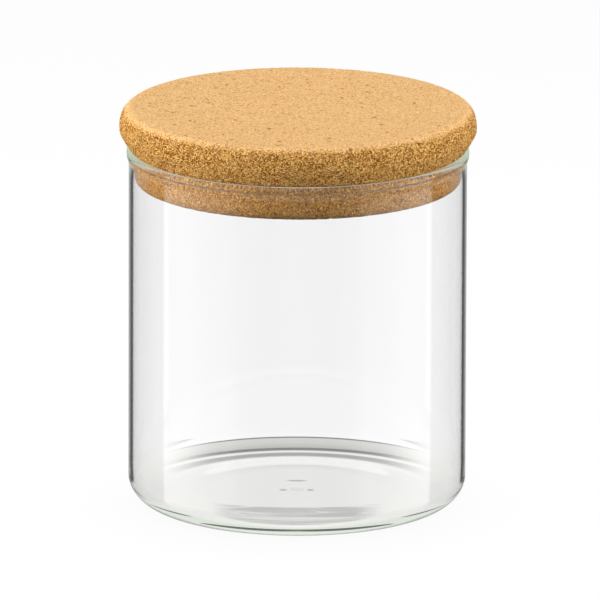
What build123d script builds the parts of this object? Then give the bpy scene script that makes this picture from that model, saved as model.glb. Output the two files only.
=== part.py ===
from build123d import *
import os

# Glass jar with a turned cork lid, in millimetres. The jar stands on z = 0 with its axis
# on Z. Both pieces are round, so each is one half outline turned about that axis.

# Jar: the straight wall
jar_radius = 50.0
jar_height = 107.5
wall = 1.25
bore_radius = jar_radius - wall

# Jar: the base, with its round heel, its foot ring and the shallow hollow inside the ring
heel_width = 8.7
heel_height = 8.1
foot_width = 2.6
hollow_depth = 0.7
foot_outer_radius = jar_radius - heel_width
foot_inner_radius = foot_outer_radius - foot_width

# Jar: the floor, lowest at its rim, with a level middle and a round corner up to the wall
floor_height = 2.0
floor_rise = 1.2
floor_middle_radius = 22.2
floor_corner_width = 7.5
floor_corner_height = 4.8
floor_middle_height = floor_height + floor_rise

# Jar: the nub in the middle of the floor, where the glass was sealed
nub_radius = 3.4
nub_height = 0.3

# Jar: the fire-polished rim, a roll of glass that swells out above a crease in the wall
bead_swell = 0.6
bead_height = 4.2
crown_drop = 1.6
lip_drop = 1.0
rim_radius = jar_radius + (bead_swell - wall) / 2

# Lid: the disc, with a soft upper edge and a lower one that is nearly a straight slope
disc_radius = 52.8
top_edge_width = 3.9
top_edge_height = 5.3
side_height = 1.5
under_edge_height = 5.2
under_edge_weight_share = 0.08
seat_clearance = 0.1

# Lid: the plug that fits in the mouth of the jar, with a soft corner at its foot
plug_clearance = 0.15
plug_depth = 10.7
plug_taper = 0.2
plug_corner_width = 2.8
plug_corner_height = 3.6
plug_top_radius = bore_radius - plug_clearance
plug_foot_radius = plug_top_radius - plug_taper


def rounded(start, corner, end, weight_share=2 ** -0.5):
    """A quarter of an ellipse in place of a square corner, or a flatter curve for a smaller share."""
    return Bezier(start, corner, end, weights=(1, weight_share, 1))


def level_blend(start, end):
    """A soft step between two heights, level at both ends."""
    middle = (start[0] + end[0]) / 2
    return Bezier(start, (middle, start[1]), (middle, end[1]), end)


def turned(edges):
    """The solid that a closed half outline, drawn as radius and height, sweeps about Z."""
    outline = make_face(Plane.XZ * Wire(edges))
    return revolve(outline, axis=Axis.Z)


def jar_underside():
    """From the axis over the hollow and the foot ring and up round the heel."""
    hollow_middle = (0, hollow_depth)
    hollow_edge = (floor_middle_radius, hollow_depth)
    foot_inner = (foot_inner_radius, 0)
    foot_outer = (foot_outer_radius, 0)
    heel_top = (jar_radius, heel_height)
    return [
        Line(hollow_middle, hollow_edge),
        level_blend(hollow_edge, foot_inner),
        Line(foot_inner, foot_outer),
        rounded(foot_outer, (jar_radius, 0), heel_top),
    ]


def jar_outside():
    """From the heel up the wall to the crease, out round the bead and over to the bore."""
    crease_height = jar_height - bead_height
    crown_height = jar_height - crown_drop
    bead_radius = jar_radius + bead_swell
    heel_top = (jar_radius, heel_height)
    crease = (jar_radius, crease_height)
    swelling = (bead_radius, (crease_height + crown_height) / 2)
    crown = (bead_radius, crown_height)
    rim_top = (rim_radius, jar_height)
    lip = (bore_radius, jar_height - lip_drop)
    return [
        Line(heel_top, crease),
        Bezier(crease, swelling, crown),
        rounded(crown, (bead_radius, jar_height), rim_top),
        rounded(rim_top, (bore_radius, jar_height), lip),
    ]


def jar_inside():
    """From the lip down the bore and over the floor and its nub to the axis."""
    lip = (bore_radius, jar_height - lip_drop)
    corner_top = (bore_radius, floor_height + floor_corner_height)
    corner_foot = (bore_radius - floor_corner_width, floor_height)
    middle_edge = (floor_middle_radius, floor_middle_height)
    nub_foot = (nub_radius, floor_middle_height)
    nub_top = (0, floor_middle_height + nub_height)
    return [
        Line(lip, corner_top),
        rounded(corner_top, (bore_radius, floor_height), corner_foot),
        level_blend(corner_foot, middle_edge),
        Line(middle_edge, nub_foot),
        level_blend(nub_foot, nub_top),
        Line(nub_top, (0, hollow_depth)),
    ]


def glass_jar():
    """The jar: one piece of clear glass, open at the top."""
    return turned(jar_underside() + jar_outside() + jar_inside())


def lid_plug(seat_height):
    """From the axis under the plug, round its corner and up its side to the seat."""
    plug_height = seat_height - plug_depth
    corner_start = (plug_foot_radius - plug_corner_width, plug_height)
    corner_end = (plug_foot_radius, plug_height + plug_corner_height)
    return [
        Line((0, plug_height), corner_start),
        rounded(corner_start, (plug_foot_radius, plug_height), corner_end),
        Line(corner_end, (plug_top_radius, seat_height)),
    ]


def lid_disc(seat_height):
    """From the seat on the rim round the lower edge, up the side, over the top and to the axis."""
    side_foot_height = seat_height + under_edge_height
    side_head_height = side_foot_height + side_height
    top_height = side_head_height + top_edge_height
    seat_inner = (plug_top_radius, seat_height)
    seat_outer = (rim_radius, seat_height)
    side_foot = (disc_radius, side_foot_height)
    side_head = (disc_radius, side_head_height)
    top_outer = (disc_radius - top_edge_width, top_height)
    return [
        Line(seat_inner, seat_outer),
        rounded(seat_outer, (disc_radius, seat_height), side_foot, under_edge_weight_share),
        Line(side_foot, side_head),
        rounded(side_head, (disc_radius, top_height), top_outer),
        Line(top_outer, (0, top_height)),
        Line((0, top_height), (0, seat_height - plug_depth)),
    ]


def cork_lid():
    """The lid: one piece of pressed cork, a disc with a plug under it."""
    seat_height = jar_height + seat_clearance
    return turned(lid_plug(seat_height) + lid_disc(seat_height))


os.makedirs("parts", exist_ok=True)
export_step(glass_jar(), "parts/glass_jar.step")
export_step(cork_lid(), "parts/cork_lid.step")
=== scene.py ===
import math

import bpy
from bpy.props import FloatProperty, FloatVectorProperty, IntProperty, PointerProperty
from bpy.types import Operator, Panel, PropertyGroup
from mathutils import Matrix, Vector


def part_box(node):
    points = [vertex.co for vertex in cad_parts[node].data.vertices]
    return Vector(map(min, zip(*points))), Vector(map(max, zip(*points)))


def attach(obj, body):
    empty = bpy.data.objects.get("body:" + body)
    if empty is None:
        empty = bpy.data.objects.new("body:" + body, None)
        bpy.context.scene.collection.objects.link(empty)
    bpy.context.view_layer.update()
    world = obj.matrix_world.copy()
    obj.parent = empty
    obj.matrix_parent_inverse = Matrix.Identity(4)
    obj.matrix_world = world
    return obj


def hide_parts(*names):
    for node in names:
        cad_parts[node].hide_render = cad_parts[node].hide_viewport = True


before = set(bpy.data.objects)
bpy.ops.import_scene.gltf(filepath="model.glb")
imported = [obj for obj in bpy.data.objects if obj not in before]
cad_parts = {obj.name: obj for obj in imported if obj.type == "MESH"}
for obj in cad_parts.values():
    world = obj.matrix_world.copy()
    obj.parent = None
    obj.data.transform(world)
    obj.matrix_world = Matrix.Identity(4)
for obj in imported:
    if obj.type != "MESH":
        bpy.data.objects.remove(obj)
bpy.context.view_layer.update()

bl_info = {
    "name": "Glass Jar with Cork Lid",
    "version": (1, 0, 0),
    "blender": (4, 5, 0),
    "location": "View3D > Sidebar > Jar",
    "description": "Builds a clear glass jar with a turned cork lid and a pale studio round it",
    "category": "Add Mesh",
}

# Sizes that the frame gives, in metres
jar_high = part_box("glass_jar")[1]
lid_low, lid_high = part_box("cork_lid")
JAR_HEIGHT = jar_high[2]
BEAD_RADIUS = jar_high[0]
LID_RADIUS = lid_high[0]
LID_TOP = lid_high[2]
PLUG_FOOT = lid_low[2]

MM = 0.001
WHITE = (1, 1, 1, 1)
BLACK = (0, 0, 0, 1)

# Shapes
ROUND = 0.5523  # how far along its corner a curve's handle reaches to draw a quarter of a circle
SWELL = 2 / 3  # the same for the bead, which swells in a plainer curve
THIRD = 1 / 3  # where a straight run has its handles
CREASE = math.radians(18)  # edges sharper than this stay sharp
MERGE = 0.002 * MM  # points nearer than this become one
SEAM_TONES = (0.0, 0.25)  # values of the cell pattern between which a seam rises to its grain
PIT_TONES = (0.24, 0.33)  # values of the cloud pattern between which a pit rises to the surface

# Glass. Its facing is 0 where a face looks at the eye and 1 at its outline, and heights are in metres.
GLASS_IOR = 1.47
GUIDED_TURNS = 9.5  # after this many turns a ray counts as guided
GUIDED = (0.79, 0.82, 0.77, 1)  # painted glow that stands in for light the glass has guided a long way inside itself
GUIDED_DARK = (0.12, 0.13, 0.12, 1)  # painted dark in place of that glow where the guided light has nearly crossed the base
GUIDED_REACH = (31.5, 34.5)  # how far before or behind the axis the painted dark sets in, in millimetres
RIM_GLOW = (0.50, 0.60, 0.45, 1)  # painted green glow that stands in for light gathering in the rim
RIM_GLOW_SHARE = 0.85  # the most of it that shows
RIM_GLOW_RISE = 0.3 * MM  # the height in which it sets in
ROLL_FACING = (0.35, 0.8)  # it covers the roll above the crown from here
SWELL_FACING = (0.75, 0.95)  # and the bead under the crown only near its outline
GLASS_DARK = (0.16, 0.17, 0.16, 1)  # painted dark along the heel's outline and under the roll
HEEL_FACING = (0.66, 0.8)
HEEL_LOW = (0.5, 0.25)  # shares of the heel's height between which the painted dark along its outline sets in
HEEL_SHARE = 0.5
LINE_FOOT = (-0.8 * MM, -0.5 * MM)  # from the crown, where the painted dark line under the roll starts
LINE_HEAD = (0.1 * MM, -0.2 * MM)  # from the crown, where it ends
LINE_SHARE = 0.6
LINE_AT_OUTLINE = (0.75, 0.45, 0.3, 1)  # two facings, and the line's strength at each
LINE_IN_FRONT = (0.0, 0.3, 0.5, 1)

# Cork. A tone, a seam and an oddity run from 0 to 1, and lengths are in millimetres.
CORK_ROUGHNESS = 0.85
CORK_GLOSS = 0.2
GRAINS = (0.95, 2.4, 3.4)  # grains in a millimetre, in three sizes
GRAIN_SHARES = (0.03, 0.17, 0.80)  # how much each size counts in the colour
GRAIN_WARP = 0.9  # how crooked the grains are, in grains
SEAM_WIDTH = 0.16  # of a grain
CLOUD_SCALE = 0.16  # patches of paler and browner grains in a millimetre
CLOUD_DETAIL = 3
CLOUD_SHARE = 0.2
SANDED_DEPTH = (2.2, 0.15)  # below the top, where the sanded finish starts and where it is full; beneath it the darker, browner colours are partly painted shade
SANDED_TONES = (0.08, 0.40, 0.62, 0.92)
OPEN_TONES = (0.33, 0.42, 0.48, 0.66)
PLUG_PAINTED_LIGHT = (1.0, 0.49, 0.12, 1)  # painted light: brighter cork below the rim, against the shade that the lid casts there
PLUG_SHARE = 0.42
PLUG_FADE = 0.6  # above the rim, where the painted light starts
FINE_SEAM = 0.45  # how far a seam between fine grains goes down
SEAM_DARKNESS = (0.2, 0.5)  # on the sanded top and on the open side
SPECK_ODDITY = (0.945, 0.95)
SPECK_SHARE = 0.8
BARK_ODDITY = (0.986, 0.99)
BARK_SHARE = 0.7
RELIEF_SHARES = (0.35, 0.65)  # coarse and fine grains
SPECK_SINK = 0.5
RELIEF = 0.5  # depth
RELIEF_STRENGTH = (0.3, 1.0)  # on the sanded top and on the open side

# Whole numbers of turns or passes are told apart half way between
AT_LEAST_ONE = 0.5
AT_LEAST_THREE = 2.5


class GlassSettings(PropertyGroup):
    """Sizes and colour of the glass jar"""

    radius: FloatProperty(name="Radius", description="Outside of the straight wall",
                          default=50 * MM, unit="LENGTH", precision=5)
    wall: FloatProperty(name="Wall", description="Thickness of the straight wall",
                        default=1.25 * MM, unit="LENGTH", precision=5)
    heel_width: FloatProperty(name="Heel width",
                              description="Outer rounding between wall and foot, across",
                              default=8.7 * MM, unit="LENGTH", precision=5)
    heel_height: FloatProperty(name="Heel height", description="Outer rounding between wall and foot, up",
                               default=8.1 * MM, unit="LENGTH", precision=5)
    foot_width: FloatProperty(name="Foot width", description="Flat ring that the jar stands on",
                              default=2.6 * MM, unit="LENGTH", precision=5)
    hollow: FloatProperty(name="Hollow", description="Depth of the hollow under the floor",
                          default=0.7 * MM, unit="LENGTH", precision=5)
    plateau: FloatProperty(name="Plateau", description="Radius of the level middle of the floor",
                           default=22.2 * MM, unit="LENGTH", precision=5)
    floor: FloatProperty(name="Floor", description="Height of the floor at its rim",
                         default=2.0 * MM, unit="LENGTH", precision=5)
    floor_rise: FloatProperty(name="Floor rise", description="How much higher the floor's middle is",
                              default=1.2 * MM, unit="LENGTH", precision=5)
    corner_width: FloatProperty(name="Corner width",
                                description="Inner rounding between floor and wall, across",
                                default=7.5 * MM, unit="LENGTH", precision=5)
    corner_height: FloatProperty(name="Corner height",
                                 description="Inner rounding between floor and wall, up",
                                 default=4.8 * MM, unit="LENGTH", precision=5)
    nub_radius: FloatProperty(name="Nub radius", description="Sealing nub in the middle of the floor",
                              default=3.4 * MM, unit="LENGTH", precision=5)
    nub_height: FloatProperty(name="Nub height", description="How far the nub rises from the floor",
                              default=0.3 * MM, unit="LENGTH", precision=5)
    bead_height: FloatProperty(name="Bead height",
                               description="From the rim down to the crease under the bead",
                               default=4.2 * MM, unit="LENGTH", precision=5)
    crown_drop: FloatProperty(name="Crown drop", description="From the rim down to the widest of the bead",
                              default=1.6 * MM, unit="LENGTH", precision=5)
    lip_drop: FloatProperty(name="Lip drop", description="Height of the rounding inside the rim",
                            default=1.0 * MM, unit="LENGTH", precision=5)
    tint: FloatVectorProperty(name="Tint", description="Colour that a thick stretch of the glass takes",
                              default=(0.4, 0.8, 0.25), size=3, subtype="COLOR", min=0, max=1)
    tint_density: FloatProperty(name="Tint density",
                                description="How fast the glass takes its tint, per metre",
                                default=1.7, min=0)
    rings: IntProperty(name="Steps round", description="Faces round the jar", default=256, min=32)
    steps: IntProperty(name="Steps per curve", description="Faces along each stretch of the outline",
                       default=14, min=2)


class CorkSettings(PropertyGroup):
    """Sizes and colours of the cork lid"""

    top_edge_width: FloatProperty(name="Top edge width", description="Upper edge rounding, across",
                                  default=3.9 * MM, unit="LENGTH", precision=5)
    top_edge_height: FloatProperty(name="Top edge height", description="Upper edge rounding, down",
                                   default=5.3 * MM, unit="LENGTH", precision=5)
    side_height: FloatProperty(name="Side height", description="Straight part of the disc's side",
                               default=1.5 * MM, unit="LENGTH", precision=5)
    under_edge_height: FloatProperty(name="Lower edge height", description="Lower edge rounding, up",
                                     default=5.2 * MM, unit="LENGTH", precision=5)
    under_edge_fullness: FloatProperty(name="Lower edge fullness",
                                       description="0.55 is a true ellipse, less is flatter",
                                       default=0.099, min=0, max=1)
    plug_clearance: FloatProperty(name="Plug clearance", description="Gap between the plug and the glass",
                                  default=0.15 * MM, unit="LENGTH", precision=5)
    plug_taper: FloatProperty(name="Plug taper", description="How much narrower the plug's foot is",
                              default=0.2 * MM, unit="LENGTH", precision=5)
    plug_corner_width: FloatProperty(name="Plug corner width",
                                     description="Rounding at the plug's foot, across",
                                     default=2.8 * MM, unit="LENGTH", precision=5)
    plug_corner_height: FloatProperty(name="Plug corner height",
                                      description="Rounding at the plug's foot, up",
                                      default=3.6 * MM, unit="LENGTH", precision=5)
    rings: IntProperty(name="Steps round", description="Faces round the lid before its relief",
                       default=256, min=32)
    steps: IntProperty(name="Steps per curve", description="Faces along each stretch of the outline",
                       default=12, min=2)
    mesh_size: FloatProperty(name="Mesh size", description="Width of the faces that carry the relief",
                             default=0.55 * MM, unit="LENGTH", precision=5)
    grain: FloatProperty(name="Grain", description="Width of a coarse grain of cork",
                         default=1.1 * MM, unit="LENGTH", precision=5)
    seam_depth: FloatProperty(name="Seam depth", description="Depth of the seams between the grains",
                              default=0.10 * MM, unit="LENGTH", precision=5)
    pit_depth: FloatProperty(name="Pit depth", description="Depth of the open pits",
                             default=0.25 * MM, unit="LENGTH", precision=5)
    top_light: FloatVectorProperty(name="Palest, sanded", description="Palest grains of the sanded top",
                                   default=(0.91, 0.63, 0.33), size=3, subtype="COLOR", min=0, max=1)
    top_middle: FloatVectorProperty(name="Middle, sanded", description="Most of the sanded top",
                                    default=(0.79, 0.48, 0.20), size=3, subtype="COLOR", min=0, max=1)
    top_dull: FloatVectorProperty(name="Brownest, sanded", description="Brownest grains of the sanded top",
                                  default=(0.56, 0.28, 0.08), size=3, subtype="COLOR", min=0, max=1)
    # Colours below the top: darker and browner than the top's, partly the open finish and partly painted
    # shade
    side_light: FloatVectorProperty(name="Palest, open", description="Palest grains of the side and the plug",
                                    default=(1.0, 0.66, 0.23), size=3, subtype="COLOR", min=0, max=1)
    side_middle: FloatVectorProperty(name="Middle, open", description="Most of the side and the plug",
                                     default=(0.86, 0.38, 0.060), size=3, subtype="COLOR", min=0, max=1)
    side_dull: FloatVectorProperty(name="Brownest, open",
                                   description="Brownest grains of the side and the plug",
                                   default=(0.26, 0.075, 0.006), size=3, subtype="COLOR", min=0, max=1)
    dark: FloatVectorProperty(name="Bark specks", description="Colour of the specks of bark and the pits",
                              default=(0.16, 0.055, 0.010), size=3, subtype="COLOR", min=0, max=1)


class StudioSettings(PropertyGroup):
    """The camera, the floor and the lamps"""

    camera_distance: FloatProperty(name="Camera distance", description="From the middle of the jar",
                                   default=5.4, unit="LENGTH")
    camera_height: FloatProperty(name="Camera angle", description="How far the camera looks down",
                                 default=math.radians(14.45), subtype="ANGLE")
    field: FloatProperty(name="Field", description="Width that the picture takes in at the jar",
                         default=177.5 * MM, unit="LENGTH", precision=5)
    roll: FloatProperty(name="Roll", description="How far the camera leans over",
                        default=math.radians(0.2), subtype="ANGLE")
    aim: FloatVectorProperty(name="Aim", description="Point in the middle of the picture",
                             default=(0.75 * MM, 0, 60.75 * MM), size=3, subtype="XYZ", unit="LENGTH")


class Outline:
    """Half of a turned shape: the knots of a Bezier curve, in radius and height, with their two handles."""

    def __init__(self, start):
        self.knots = [[Vector(start), Vector(start), Vector(start)]]

    def curve_to(self, first_handle, last_handle, end):
        self.knots[-1][2] = Vector(first_handle)
        self.knots.append([Vector(end), Vector(last_handle), Vector(end)])

    def line_to(self, end):
        start = self.knots[-1][0]
        end = Vector(end)
        self.curve_to(start.lerp(end, THIRD), end.lerp(start, THIRD), end)

    def round_to(self, corner, end, fullness=ROUND):
        """A quarter of an ellipse in place of a square corner, or a flatter curve."""
        start = self.knots[-1][0]
        corner, end = Vector(corner), Vector(end)
        self.curve_to(start.lerp(corner, fullness), end.lerp(corner, fullness), end)

    def level_to(self, end):
        """A soft step, level at both ends."""
        start = self.knots[-1][0]
        middle = (start.x + end[0]) / 2
        self.curve_to((middle, start.y), (middle, end[1]), end)


def rim_radius(size):
    """Where the jar's rim is highest, half way over the bead."""
    return (size.radius - size.wall + BEAD_RADIUS) / 2


def glass_outline(size):
    """The jar's half outline, from the axis under the floor round the wall and back over the floor."""
    foot_outer = size.radius - size.heel_width
    foot_inner = foot_outer - size.foot_width
    bore = size.radius - size.wall
    crease = JAR_HEIGHT - size.bead_height
    crown = JAR_HEIGHT - size.crown_drop
    middle_height = size.floor + size.floor_rise
    line = Outline((0, size.hollow))
    line.line_to((size.plateau, size.hollow))
    line.level_to((foot_inner, 0))
    line.line_to((foot_outer, 0))
    line.round_to((size.radius, 0), (size.radius, size.heel_height))
    line.line_to((size.radius, crease))
    line.round_to((BEAD_RADIUS, (crease + crown) / 2), (BEAD_RADIUS, crown), SWELL)
    line.round_to((BEAD_RADIUS, JAR_HEIGHT), (rim_radius(size), JAR_HEIGHT))
    line.round_to((bore, JAR_HEIGHT), (bore, JAR_HEIGHT - size.lip_drop))
    line.line_to((bore, size.floor + size.corner_height))
    line.round_to((bore, size.floor), (bore - size.corner_width, size.floor))
    line.level_to((size.plateau, middle_height))
    line.line_to((size.nub_radius, middle_height))
    line.level_to((0, middle_height + size.nub_height))
    return line


def cork_outline(glass, size):
    """The lid's half outline, from the axis under the plug round the disc and back over its top."""
    plug_top = glass.radius - glass.wall - size.plug_clearance
    plug_foot = plug_top - size.plug_taper
    side_head = LID_TOP - size.top_edge_height
    side_foot = side_head - size.side_height
    seat = side_foot - size.under_edge_height
    line = Outline((0, PLUG_FOOT))
    line.line_to((plug_foot - size.plug_corner_width, PLUG_FOOT))
    line.round_to((plug_foot, PLUG_FOOT), (plug_foot, PLUG_FOOT + size.plug_corner_height))
    line.line_to((plug_top, seat))
    line.line_to((rim_radius(glass), seat))
    line.round_to((LID_RADIUS, seat), (LID_RADIUS, side_foot), size.under_edge_fullness)
    line.line_to((LID_RADIUS, side_head))
    line.round_to((LID_RADIUS, LID_TOP), (LID_RADIUS - size.top_edge_width, LID_TOP))
    line.line_to((0, LID_TOP))
    return line


def select_only(ob):
    bpy.ops.object.select_all(action="DESELECT")
    ob.select_set(True)
    bpy.context.view_layer.objects.active = ob


def turned(name, outline, rings, steps):
    """The closed mesh that an outline sweeps about the upright axis."""
    bpy.ops.object.select_all(action="DESELECT")
    bpy.ops.curve.primitive_bezier_curve_add(location=(0, 0, 0))
    ob = bpy.context.object
    ob.data.resolution_u = steps
    knots = ob.data.splines[0].bezier_points
    knots.add(len(outline.knots) - len(knots))
    for knot, (place, left, right) in zip(knots, outline.knots):
        knot.handle_left_type = knot.handle_right_type = "FREE"
        knot.co = (place.x, 0, place.y)
        knot.handle_left = (left.x, 0, left.y)
        knot.handle_right = (right.x, 0, right.y)
    bpy.ops.object.convert(target="MESH")
    ob = bpy.context.object
    ob.name = ob.data.name = name
    bpy.ops.object.mode_set(mode="EDIT")
    bpy.ops.mesh.select_all(action="SELECT")
    bpy.ops.mesh.spin(steps=rings, angle=math.tau, center=(0, 0, 0), axis=(0, 0, 1))
    bpy.ops.mesh.select_all(action="SELECT")
    bpy.ops.mesh.remove_doubles(threshold=MERGE)
    bpy.ops.mesh.normals_make_consistent(inside=False)
    bpy.ops.object.mode_set(mode="OBJECT")
    bpy.ops.object.shade_smooth_by_angle(angle=CREASE)
    return ob


def modified(ob, kind, **values):
    """Gives a piece one modifier and applies it."""
    select_only(ob)
    bpy.ops.object.modifier_add(type=kind)
    modifier = ob.modifiers[-1]
    for name, value in values.items():
        setattr(modifier, name, value)
    bpy.ops.object.modifier_apply(modifier=modifier.name)


def hollows(name, kind, scale, tones, **values):
    """A texture that presses in where it is black, and is black and white beyond its two tones."""
    texture = bpy.data.textures.new(name, kind)
    texture.noise_scale = scale
    for setting, value in values.items():
        setattr(texture, setting, value)
    texture.use_color_ramp = True
    for element, place, colour in zip(texture.color_ramp.elements, tones, (BLACK, WHITE)):
        element.position, element.color = place, colour
    return texture


def sink(ob, texture, depth):
    """Lets a texture press hollows of up to this depth into a piece, and raises nothing."""
    modified(ob, "DISPLACE", texture=texture, texture_coords="LOCAL", direction="NORMAL",
             mid_level=1, strength=depth)


def grained(ob, size):
    """Gives the turned lid the grain of pressed cork: domed grains with seams and some open pits."""
    select_only(ob)
    bpy.ops.object.duplicate()
    plain = bpy.context.object
    modified(ob, "REMESH", mode="VOXEL", voxel_size=size.mesh_size)
    modified(ob, "SHRINKWRAP", wrap_method="NEAREST_SURFACEPOINT", target=plain)
    bpy.ops.object.shade_smooth()
    select_only(plain)
    bpy.ops.object.delete()
    seams = hollows("Seams between grains", "VORONOI", size.grain, SEAM_TONES, weight_1=-1, weight_2=1)
    sink(ob, seams, size.seam_depth)
    pits = hollows("Open pits", "CLOUDS", size.grain, PIT_TONES, noise_depth=1)
    sink(ob, pits, size.pit_depth)


class Nodes:
    """Places nodes in a node tree and joins them."""

    def __init__(self, tree):
        self.tree = tree
        tree.nodes.clear()

    def add(self, kind, **values):
        node = self.tree.nodes.new(kind)
        for name, value in values.items():
            setattr(node, name, value)
        return node

    def link(self, start, end):
        self.tree.links.new(start, end)

    def feed(self, socket, value):
        """A plain value is set on the socket, and anything else is joined to it."""
        if isinstance(value, bpy.types.NodeSocket):
            self.link(value, socket)
        else:
            socket.default_value = value

    def fed(self, node, *values):
        """Feeds a node's first sockets in order and gives its first result."""
        for socket, value in zip(node.inputs, values):
            self.feed(socket, value)
        return node.outputs[0]

    def math(self, operation, *values):
        return self.fed(self.add("ShaderNodeMath", operation=operation), *values)

    def product(self, first, *others):
        """Numbers, multiplied."""
        for other in others:
            first = self.math("MULTIPLY", first, other)
        return first

    def vector(self, operation, *values):
        """A sum with places, directions or colours."""
        return self.fed(self.add("ShaderNodeVectorMath", operation=operation), *values)

    def length(self, place):
        return self.vector("LENGTH", place).node.outputs["Value"]

    def split(self, place):
        """The X, Y and Z of a place or direction."""
        node = self.add("ShaderNodeSeparateXYZ")
        self.link(place, node.inputs[0])
        return node.outputs

    def on_object(self):
        """Places on the object, in metres."""
        return self.add("ShaderNodeTexCoord").outputs["Object"]

    def ramp(self, value, stops):
        """A colour ramp; each stop is a place from 0 to 1 and a grey level or a colour."""
        node = self.add("ShaderNodeValToRGB")
        self.feed(node.inputs[0], value)
        elements = node.color_ramp.elements
        while len(elements) < len(stops):
            elements.new(1)
        for element, (place, tone) in zip(elements, stops):
            element.position = place
            element.color = (*tone, 1) if hasattr(tone, "__len__") else grey(tone)
        return node.outputs[0]

    def span(self, value, low, high, start=0, end=1):
        """Takes a value softly from one range to another, held at both ends."""
        node = self.add("ShaderNodeMapRange", interpolation_type="SMOOTHSTEP")
        return self.fed(node, value, low, high, start, end)

    def mix(self, share, first, second, blend="MIX"):
        """Two colours, mixed."""
        node = self.add("ShaderNodeMix", data_type="RGBA", blend_type=blend)
        for number, value in ((0, share), (6, first), (7, second)):
            self.feed(node.inputs[number], value)
        return node.outputs[2]

    def noise(self, place, scale, detail):
        node = self.add("ShaderNodeTexNoise")
        for name, value in (("Vector", place), ("Scale", scale), ("Detail", detail)):
            self.feed(node.inputs[name], value)
        return node.outputs

    def blend(self, share, first, second):
        """Two shaders, mixed."""
        return self.fed(self.add("ShaderNodeMixShader"), share, first, second)

    def glow(self, colour, strength=1):
        """Light that a surface gives off."""
        return self.fed(self.add("ShaderNodeEmission"), colour, strength)


def grey(level):
    return (level, level, level, 1)


def new_material(name):
    material = bpy.data.materials.new(name)
    material.use_nodes = True
    return material


def new_group(name, inputs, outputs):
    """A node group; inputs and outputs are lists of a socket's name and kind."""
    group = bpy.data.node_groups.new(name, "ShaderNodeTree")
    for socket, kind in inputs:
        group.interface.new_socket(socket, in_out="INPUT", socket_type=kind)
    for socket, kind in outputs:
        group.interface.new_socket(socket, in_out="OUTPUT", socket_type=kind)
    tree = Nodes(group)
    return group, tree, tree.add("NodeGroupInput"), tree.add("NodeGroupOutput")


def rim_glow(tree, size, height, facing):
    """Where the painted green glow goes: over the rim's roll, and along the outline of the bead under it."""
    crease = JAR_HEIGHT - size.bead_height
    crown = JAR_HEIGHT - size.crown_drop
    roll = tree.product(tree.span(facing, *ROLL_FACING, 0, RIM_GLOW_SHARE),
                        tree.span(height, crown, crown + RIM_GLOW_RISE))
    swell = tree.product(tree.span(facing, *SWELL_FACING, 0, RIM_GLOW_SHARE),
                         tree.span(height, crease, crease + RIM_GLOW_RISE))
    return tree.math("MAXIMUM", roll, swell)


def dark_lines(tree, size, height, facing):
    """Where the glass is painted dark: along the outline of the heel, and in a line under the rim's roll."""
    low, lowest = (share * size.heel_height for share in HEEL_LOW)
    heel = tree.product(tree.span(facing, *HEEL_FACING), tree.span(height, low, lowest, 0, HEEL_SHARE))
    crown = JAR_HEIGHT - size.crown_drop
    foot = (crown + step for step in LINE_FOOT)
    head = (crown + step for step in LINE_HEAD)
    line = tree.product(tree.span(height, *foot, 0, LINE_SHARE), tree.span(height, *head),
                        tree.span(facing, *LINE_AT_OUTLINE), tree.span(facing, *LINE_IN_FRONT))
    return tree.math("MAXIMUM", heel, line)


def clear_glass(size):
    """Clear glass that bends light, lets the lamps through and takes a green tint where it is thick, with a
    painted glow where it guides rays, and for the camera a painted green glow at the rim and painted dark
    lines at the heel and under the roll.
    """
    material = new_material("Clear glass")
    tree = Nodes(material.node_tree)
    out = tree.add("ShaderNodeOutputMaterial")
    glass = tree.add("ShaderNodeBsdfPrincipled")
    glass.inputs["Base Color"].default_value = WHITE
    glass.inputs["Roughness"].default_value = 0
    glass.inputs["IOR"].default_value = GLASS_IOR
    glass.inputs["Transmission Weight"].default_value = 1
    passing = tree.add("ShaderNodeBsdfTransparent")
    path = tree.add("ShaderNodeLightPath").outputs
    surface = tree.blend(path["Is Shadow Ray"], glass.outputs[0], passing.outputs[0])
    place = tree.split(tree.on_object())
    # Rays that the glass has guided a long way end in a painted glow, which turns to painted dark before and
    # behind the axis
    across = tree.math("DIVIDE", tree.math("ABSOLUTE", place["Y"]), MM)
    guided = tree.mix(tree.span(across, *GUIDED_REACH), GUIDED, GUIDED_DARK)
    surface = tree.blend(tree.math("GREATER_THAN", path["Glossy Depth"], GUIDED_TURNS),
                         surface, tree.glow(guided))
    facing = tree.add("ShaderNodeLayerWeight").outputs["Facing"]
    # For camera rays: a painted green glow at the rim, and painted dark lines at the heel and under the roll
    for gathers, colour in ((rim_glow, RIM_GLOW), (dark_lines, GLASS_DARK)):
        share = tree.product(gathers(tree, size, place["Z"], facing), path["Is Camera Ray"])
        surface = tree.blend(share, surface, tree.glow(colour))
    tree.link(surface, out.inputs["Surface"])
    material.cycles.emission_sampling = "NONE"
    tinted = tree.add("ShaderNodeVolumeAbsorption")
    tinted.inputs["Color"].default_value = (*size.tint, 1)
    tinted.inputs["Density"].default_value = size.tint_density
    tree.link(tinted.outputs[0], out.inputs["Volume"])
    return material


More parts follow.
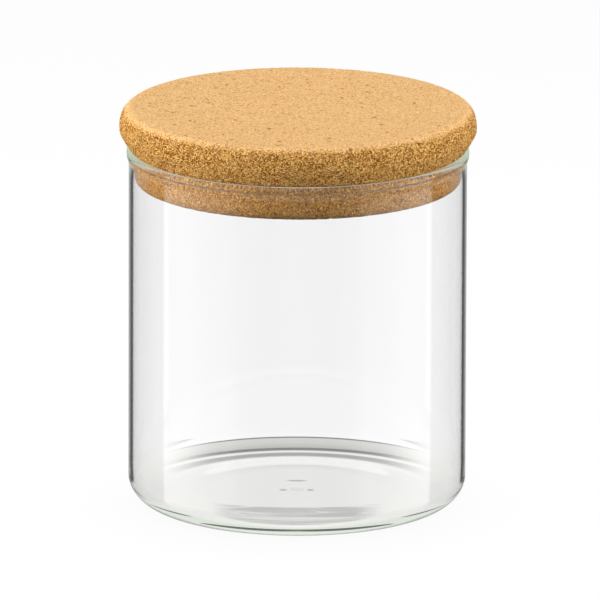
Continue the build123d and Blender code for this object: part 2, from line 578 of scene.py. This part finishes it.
def cork_grain():
    """The pattern of pressed cork in one size of grain: its tone, its seams and how odd each grain is."""
    group, tree, given, result = new_group(
        "Cork grain",
        [("Place", "NodeSocketVector"), ("Grains per mm", "NodeSocketFloat")],
        [("Tone", "NodeSocketFloat"), ("Seam", "NodeSocketFloat"), ("Odd", "NodeSocketFloat")])
    place, scale = given.outputs["Place"], given.outputs["Grains per mm"]
    shift = tree.vector("SUBTRACT", tree.noise(place, scale, 1)["Color"], (0.5, 0.5, 0.5))
    crooked = tree.vector("MULTIPLY_ADD", shift, tree.math("DIVIDE", GRAIN_WARP, scale), place)
    grains = tree.add("ShaderNodeTexVoronoi", feature="F1")
    seams = tree.add("ShaderNodeTexVoronoi", feature="DISTANCE_TO_EDGE")
    for cells in (grains, seams):
        tree.link(crooked, cells.inputs["Vector"])
        tree.link(scale, cells.inputs["Scale"])
    apart = tree.add("ShaderNodeSeparateColor")
    tree.link(grains.outputs["Color"], apart.inputs[0])
    tree.link(apart.outputs[0], result.inputs["Tone"])
    tree.link(apart.outputs[1], result.inputs["Odd"])
    tree.link(tree.span(seams.outputs["Distance"], 0, SEAM_WIDTH), result.inputs["Seam"])
    return group


def pressed_cork(size):
    """Pressed cork: pale and browner grains, bark specks, seams and pits, smoother on its sanded top. Below
    the top it takes darker, browner colours, partly its open finish and partly painted shade, and below the
    rim a painted light.
    """
    material = new_material("Pressed cork")
    tree = Nodes(material.node_tree)
    out = tree.add("ShaderNodeOutputMaterial")
    cork = tree.add("ShaderNodeBsdfPrincipled")
    cork.inputs["Roughness"].default_value = CORK_ROUGHNESS
    cork.inputs["Specular IOR Level"].default_value = CORK_GLOSS
    in_mm = tree.vector("MULTIPLY", tree.on_object(), (1 / MM, 1 / MM, 1 / MM))
    height = tree.split(in_mm)["Z"]
    start, full = (LID_TOP / MM - depth for depth in SANDED_DEPTH)
    below_top = tree.math("SUBTRACT", 1, tree.span(height, start, full))

    group = cork_grain()
    grains = []
    for scale in GRAINS:
        node = tree.add("ShaderNodeGroup", node_tree=group)
        tree.link(in_mm, node.inputs["Place"])
        node.inputs["Grains per mm"].default_value = scale
        grains.append(node.outputs)
    coarse, fine = grains[:2]

    tone = 0
    for size_of_grain, share in zip(grains, GRAIN_SHARES):
        tone = tree.math("MULTIPLY_ADD", size_of_grain["Tone"], share, tone)
    cloud = tree.noise(in_mm, CLOUD_SCALE, CLOUD_DETAIL)[0]
    tone = tree.math("MULTIPLY_ADD", tree.math("SUBTRACT", cloud, 0.5), CLOUD_SHARE, tone)
    # Darker, browner colours below the top: partly its open finish, partly painted shade
    top_colours = tree.ramp(tone, list(zip(SANDED_TONES, (size.top_dull, size.top_middle, size.top_middle,
                                                     size.top_light))))
    side_colours = tree.ramp(tone, list(zip(OPEN_TONES, (size.side_dull, size.side_middle, size.side_middle,
                                                  size.side_light))))
    # Painted light: the plug below the rim is mixed towards a brighter cork, against the lid's shade
    rim = JAR_HEIGHT / MM
    side_colours = tree.mix(tree.span(height, rim + PLUG_FADE, rim, 0, PLUG_SHARE), side_colours, PLUG_PAINTED_LIGHT)
    colour = tree.mix(below_top, top_colours, side_colours)
    seams = tree.math("MINIMUM", coarse["Seam"], tree.span(fine["Seam"], 0, 1, FINE_SEAM, 1))
    gaps = tree.product(tree.math("SUBTRACT", 1, seams), tree.span(below_top, 0, 1, *SEAM_DARKNESS))
    colour = tree.mix(gaps, colour, (*size.side_dull, 1))
    specks = tree.product(tree.span(fine["Odd"], *SPECK_ODDITY), fine["Seam"], SPECK_SHARE)
    bark = tree.product(tree.span(coarse["Odd"], *BARK_ODDITY), coarse["Seam"], BARK_SHARE)
    dark = tree.math("MAXIMUM", specks, bark)
    colour = tree.mix(dark, colour, (*size.dark, 1))
    tree.link(colour, cork.inputs["Base Color"])

    relief = 0
    for size_of_grain, share in zip(grains, RELIEF_SHARES):
        relief = tree.math("MULTIPLY_ADD", size_of_grain["Tone"], share, relief)
    relief = tree.math("SUBTRACT", tree.product(relief, seams), tree.product(dark, SPECK_SINK))
    bump = tree.add("ShaderNodeBump")
    bump.inputs["Distance"].default_value = RELIEF * MM
    tree.link(tree.span(below_top, 0, 1, *RELIEF_STRENGTH), bump.inputs["Strength"])
    tree.link(relief, bump.inputs["Height"])
    tree.link(bump.outputs[0], cork.inputs["Normal"])
    tree.link(cork.outputs[0], out.inputs["Surface"])
    return material


def dress(ob, material, body, node):
    """Gives a finished piece its material, hides the CAD node that it stands for and puts it under its body's
    empty.
    """
    ob.data.materials.clear()
    ob.data.materials.append(material)
    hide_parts(node)
    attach(ob, body)


class JAR_OT_glass(Operator):
    """Turn the glass jar from its half outline"""

    bl_idname = "jar.glass"
    bl_label = "Glass Jar"

    def execute(self, context):
        size = context.scene.jar_glass
        ob = turned("jar_glass", glass_outline(size), size.rings, size.steps)
        dress(ob, clear_glass(size), "jar", "glass_jar")
        return {"FINISHED"}


class JAR_OT_lid(Operator):
    """Turn the cork lid from its half outline"""

    bl_idname = "jar.lid"
    bl_label = "Cork Lid"

    def execute(self, context):
        size = context.scene.jar_cork
        outline = cork_outline(context.scene.jar_glass, size)
        ob = turned("lid_cork", outline, size.rings, size.steps)
        grained(ob, size)
        dress(ob, pressed_cork(size), "lid", "cork_lid")
        return {"FINISHED"}


def ray_masks(tree):
    """Masks for rays that look past the jar and for rays that its glass has mirrored."""
    path = tree.add("ShaderNodeLightPath").outputs
    clean = tree.math("LESS_THAN", path["Diffuse Depth"], AT_LEAST_ONE)
    mirrored = tree.math("GREATER_THAN", path["Glossy Depth"], AT_LEAST_ONE)
    straight = tree.math("SUBTRACT", 1, mirrored)
    looking = tree.math("MAXIMUM", path["Is Camera Ray"], path["Is Transmission Ray"])
    turned_back = tree.math("MAXIMUM", path["Is Reflection Ray"], path["Is Transmission Ray"])
    view = tree.product(looking, straight, clean)
    mirror = tree.product(turned_back, mirrored, clean)
    return view, mirror


def turn_of(tree, heading):
    """How far a direction turns from the side that the camera looks at, 0 to 1 for 0 to 180 degrees."""
    apart = tree.split(heading)
    away = tree.product(apart["Y"], -1)
    side = tree.math("ABSOLUTE", apart["X"])
    return tree.math("DIVIDE", tree.math("ARCTAN2", side, away), math.pi), apart["Z"]


HALF_TURN = 180


def by_angle(tree, turn, levels):
    """A grey level that follows the angle; each stop is an angle in degrees and a level."""
    return tree.ramp(turn, [(angle / HALF_TURN, level) for angle, level in levels])


# Light levels of the room round the jar, by angle from the camera's side. The first is what the
# outside of the glass mirrors: two tall soft lights and a dark room. The second is what the wall
# turns back inside itself, which draws the jar's dark edges. The third is what the far wall mirrors,
# and the fourth what any of them mirrors from below.
MIRRORED_OUTSIDE = [(0, 0.1), (25, 0.15), (40, 0.4), (47, 0.75), (65, 1.0), (80, 1.35), (92, 1.45),
                    (104.2, 1.35), (105.4, 0.2), (150, 0.2), (160, 0.1), (170, 0.35), (180, 0.9)]
TURNED_INSIDE = [(0, 0.4), (22, 0.15), (40, 0.4), (47, 0.75), (65, 1.0), (80, 1.35), (92, 1.45),
                 (104.2, 1.35), (105.4, 0.12), (118, 0.12), (132, 0.45), (146, 0.56), (151, 0.5),
                 (155, 0.04), (160, 0.04), (164, 0.14), (167, 0.26), (170, 0.44), (180, 1.0)]
BEYOND = [(0, 0.05), (103, 0.05), (106, 0.8), (120, 1.0), (180, 1.0)]
BELOW = [(0, 0.9), (35, 0.85), (60, 0.45), (120, 0.45), (150, 0.8), (180, 0.95)]

# How steeply a ray climbs, as the height of a direction one long: the backdrop above eye level with
# its light levels, and where a ray leaves the room's sides for it or for what lies below
ABOVE = [(0.0, 0.7), (0.45, 0.7), (0.75, 1.0)]
CLIMBING = (0.0, 0.1)
FALLING = (-0.35, -0.6)
AMBIENT = 0.42  # even light from all round


def studio_world(scene):
    """White where the eye looks past the jar, and a dark room with two tall soft lights in its glass."""
    world = bpy.data.worlds.new("Studio")
    scene.world = world
    world.use_nodes = True
    tree = Nodes(world.node_tree)
    out = tree.add("ShaderNodeOutputWorld")
    view, mirror = ray_masks(tree)
    passes = tree.add("ShaderNodeLightPath").outputs["Transmission Depth"]
    within = tree.math("GREATER_THAN", passes, AT_LEAST_ONE)
    beyond = tree.math("GREATER_THAN", passes, AT_LEAST_THREE)

    turn, climb = turn_of(tree, tree.add("ShaderNodeTexCoord").outputs["Generated"])
    sides = tree.mix(within, by_angle(tree, turn, MIRRORED_OUTSIDE), by_angle(tree, turn, TURNED_INSIDE))
    sides = tree.mix(beyond, sides, by_angle(tree, turn, BEYOND))
    room = tree.mix(tree.span(climb, *CLIMBING), sides, tree.ramp(climb, ABOVE))
    room = tree.mix(tree.span(climb, *FALLING), room, by_angle(tree, turn, BELOW))
    seen = tree.mix(mirror, WHITE, room)
    light = tree.mix(tree.math("MAXIMUM", view, mirror), grey(AMBIENT), seen)
    background = tree.add("ShaderNodeBackground")
    tree.link(light, background.inputs["Color"])
    tree.link(background.outputs[0], out.inputs["Surface"])


# How light the table looks through the jar's base, with painted shadow and light on it. Places and lengths
# are in millimetres from its middle, and a pair is where something starts to fade in and where it is full.
# First the painted rings of the foot's contact shadow behind the middle, by distance, and the bare table
# round them.
BASE_RINGS = [(0, 0.89), (22.0, 0.89), (25.0, 0.90), (42.0, 0.90), (44.6, 0.30), (47.6, 0.30),
              (48.4, 0.80), (50.2, 0.80), (51.0, 0.15), (53.2, 0.15), (54.2, 0.50), (60.0, 0.58),
              (70.0, 0.60), (73.0, 0.10), (76.0, 0.10), (76.5, 0.90)]
RINGS_REACH = 100
RINGS_ASIDE = (44, 22)
RINGS_BEHIND = (15, 30)
BARE_TABLE = 0.9
MIDDLE_EDGE = (25, 22)
MIDDLE_LEVEL = 0.89
# A painted warm tint of the light under the base
BASE_TINT = (1.0, 0.995, 0.965, 1)
TINT_EDGE = (77, 72)

# Then a painted soft oval shadow before the middle that starts at an arc and is streaked with painted light
SHADOW_CENTRE = (0, -12, 0)
SHADOW_SIZE = (26, 28, 1)
SHADOW_EDGE = (1.0, 0.9)  # in its own sizes
SHADOW_ASIDE = (16, 25, 1, 0.15)  # two distances, and how strong it is at each
SHADOW_LEVEL = 0.36
ARC_CENTRE = (0, 31.6, 0)
ARC_EDGE = (48.1, 49.1)
STREAKS = (0.04, 0.55, 0)  # streaks in a millimetre, along and across
STREAK_DETAIL = 2
STREAK_TONES = (0.5, 0.64)
STREAK_LEVEL = 0.75

# And two dots and a dash of painted shadow, which the nub throws
DOT_ASIDE = (4.0, 0, 0)
DOT_FORWARD = (0, 3.0, 0)
DOT_EDGE = (1.5, 0.6)
DASH_CENTRE = (0, 13.6, 0)
DASH_SIZE = (3.2, 1.0, 1)
DASH_EDGE = (1.2, 0.6)  # in its own sizes
MARK_LEVEL = 0.3


# Painted rings of contact shadow behind the middle of the base, round a plain middle
def table_rings(tree, radius, aside, forward):
    rings = tree.ramp(tree.math("DIVIDE", radius, RINGS_REACH),
                      [(distance / RINGS_REACH, level) for distance, level in BASE_RINGS])
    behind = tree.product(tree.span(aside, *RINGS_ASIDE), tree.span(forward, *RINGS_BEHIND))
    rings = tree.mix(behind, grey(BARE_TABLE), rings)
    return tree.mix(tree.span(radius, *MIDDLE_EDGE), rings, grey(MIDDLE_LEVEL))


def off_centre(tree, place, centre, size=(1, 1, 1)):
    """The distance from a centre, in sizes of an oval."""
    return tree.length(tree.vector("DIVIDE", tree.vector("SUBTRACT", place, centre), size))


def table_through_glass(tree):
    """The table as the jar's base shows it: painted shadow rings behind its middle, a painted soft shadow
    before it, painted dark marks of the nub and a painted warm tint.
    """
    in_mm = tree.vector("MULTIPLY", tree.on_object(), (1 / MM, 1 / MM, 0))
    radius = tree.length(in_mm)
    apart = tree.split(in_mm)
    aside = tree.math("ABSOLUTE", apart["X"])
    table = table_rings(tree, radius, aside, apart["Y"])
    # A painted soft shadow before the middle, streaked with painted light
    shadow = tree.product(tree.span(off_centre(tree, in_mm, SHADOW_CENTRE, SHADOW_SIZE), *SHADOW_EDGE),
                          tree.span(off_centre(tree, in_mm, ARC_CENTRE), *ARC_EDGE),
                          tree.span(aside, *SHADOW_ASIDE))
    streaks = tree.noise(tree.vector("MULTIPLY", in_mm, STREAKS), 1, STREAK_DETAIL)[0]
    streaked = tree.mix(tree.span(streaks, *STREAK_TONES), grey(SHADOW_LEVEL), grey(STREAK_LEVEL))
    table = tree.mix(shadow, table, streaked)
    # Painted shadow: two dots and a dash that the nub throws
    folded = tree.vector("ABSOLUTE", tree.vector("SUBTRACT", in_mm, DOT_FORWARD))
    dots = tree.span(off_centre(tree, folded, DOT_ASIDE), *DOT_EDGE)
    dash = tree.span(off_centre(tree, in_mm, DASH_CENTRE, DASH_SIZE), *DASH_EDGE)
    table = tree.mix(tree.math("MAXIMUM", dots, dash), table, grey(MARK_LEVEL))
    return tree.mix(tree.span(radius, *TINT_EDGE), table, BASE_TINT, "MULTIPLY")


FLOOR_SIZE = 40  # metres
FLOOR_DROP = 0.05 * MM  # under the foot
FLOOR_COLOUR = 0.09  # what the lamps light, so that the jar's shadow stays soft
FLOOR_BOUNCE = 0.35  # light that the pale floor throws up


def pale_floor():
    """A white floor that keeps the jar's shadow and stays out of what the glass mirrors."""
    bpy.ops.object.select_all(action="DESELECT")
    bpy.ops.mesh.primitive_plane_add(size=FLOOR_SIZE, location=(0, 0, -FLOOR_DROP))
    ob = bpy.context.object
    ob.name = ob.data.name = "floor"
    bpy.ops.object.transform_apply(location=True, rotation=True, scale=True)
    material = new_material("Pale floor")
    tree = Nodes(material.node_tree)
    out = tree.add("ShaderNodeOutputMaterial")
    view, mirror = ray_masks(tree)
    matt = tree.add("ShaderNodeBsdfDiffuse")
    matt.inputs["Color"].default_value = grey(FLOOR_COLOUR)
    path = tree.add("ShaderNodeLightPath").outputs
    # Seen through the glass the floor carries the table's painted shadows and tint; seen straight it takes
    # the bare table's level
    level = tree.mix(path["Is Camera Ray"], table_through_glass(tree), grey(BARE_TABLE))
    bounce = tree.product(path["Is Diffuse Ray"], FLOOR_BOUNCE)
    glow = tree.glow(level, tree.math("ADD", view, bounce))
    lit = tree.fed(tree.add("ShaderNodeAddShader"), matt.outputs[0], glow)
    clear = tree.add("ShaderNodeBsdfTransparent")
    tree.link(tree.blend(mirror, lit, clear.outputs[0]), out.inputs["Surface"])
    ob.data.materials.append(material)


# Each lamp's place, width, height and power, in metres and watts, and where they all aim
LAMPS = {
    "top light": ((0, 0.1, 1.1), 0.5, 0.5, 5.0),
    "left light": ((-1.12, -0.25, 0.25), 0.4, 0.6, 17.0),
    "right light": ((1.12, -0.25, 0.25), 0.4, 0.6, 12.6),
    "front light": ((0, -1.3, 0.35), 0.5, 0.3, 1.7),
}
LAMPS_AIM = (0, 0, 0.07)


def soft_light(name, place, width, height, power):
    bpy.ops.object.light_add(type="AREA", location=place)
    ob = bpy.context.object
    ob.name = name
    light = ob.data
    light.shape = "RECTANGLE"
    light.size, light.size_y = width, height
    light.energy = power
    ob.rotation_euler = (Vector(LAMPS_AIM) - Vector(place)).to_track_quat("-Z", "Y").to_euler()
    ob.visible_camera = ob.visible_glossy = ob.visible_transmission = False


SENSOR = 36  # the camera's sensor, in millimetres
NEAREST, FARTHEST = 0.1, 100  # what the camera sees, in metres
MOST_BOUNCES = 32
MOST_MIRRORED = 24
MOST_PASSES = 32


def studio_camera(scene, size):
    """A far camera with a long lens, at the height and angle of the photo."""
    camera = bpy.data.cameras.new("Camera")
    ob = bpy.data.objects.new("Camera", camera)
    scene.collection.objects.link(ob)
    direction = Vector((0, -math.cos(size.camera_height), math.sin(size.camera_height)))
    aim = Vector(size.aim)
    ob.location = aim + direction * size.camera_distance
    turned_to_jar = (aim - ob.location).to_track_quat("-Z", "Y").to_matrix()
    ob.rotation_euler = (turned_to_jar @ Matrix.Rotation(size.roll, 3, "Z")).to_euler()
    camera.sensor_width = SENSOR
    camera.lens = SENSOR * size.camera_distance / size.field
    camera.clip_start = NEAREST
    camera.clip_end = FARTHEST
    scene.camera = ob


class JAR_OT_studio(Operator):
    """Set up the floor, the lamps, the world and the camera"""

    bl_idname = "jar.studio"
    bl_label = "Studio"

    def execute(self, context):
        scene = context.scene
        scene.view_settings.view_transform = "Standard"
        scene.cycles.max_bounces = MOST_BOUNCES
        scene.cycles.glossy_bounces = MOST_MIRRORED
        scene.cycles.transmission_bounces = MOST_PASSES
        studio_world(scene)
        pale_floor()
        for name, lamp in LAMPS.items():
            soft_light(name, *lamp)
        studio_camera(scene, scene.jar_studio)
        return {"FINISHED"}


class JAR_PT_panel(Panel):
    """Lists the pieces of the jar and its studio"""

    bl_label = "Glass Jar"
    bl_space_type = "VIEW_3D"
    bl_region_type = "UI"
    bl_category = "Jar"

    def draw(self, context):
        for operator in OPERATORS:
            self.layout.operator(operator.bl_idname)
        for settings in (context.scene.jar_glass, context.scene.jar_cork, context.scene.jar_studio):
            box = self.layout.box()
            for name in settings.__annotations__:
                box.prop(settings, name)


OPERATORS = (JAR_OT_glass, JAR_OT_lid, JAR_OT_studio)
SETTINGS = {"jar_glass": GlassSettings, "jar_cork": CorkSettings, "jar_studio": StudioSettings}
CLASSES = (*SETTINGS.values(), *OPERATORS, JAR_PT_panel)


def register():
    for item in CLASSES:
        bpy.utils.register_class(item)
    for name, group in SETTINGS.items():
        setattr(bpy.types.Scene, name, PointerProperty(type=group))


def unregister():
    for name in SETTINGS:
        delattr(bpy.types.Scene, name)
    for item in reversed(CLASSES):
        bpy.utils.unregister_class(item)


def main():
    register()
    bpy.ops.jar.glass()
    bpy.ops.jar.lid()
    bpy.ops.jar.studio()


if __name__ == "__main__":
    main()
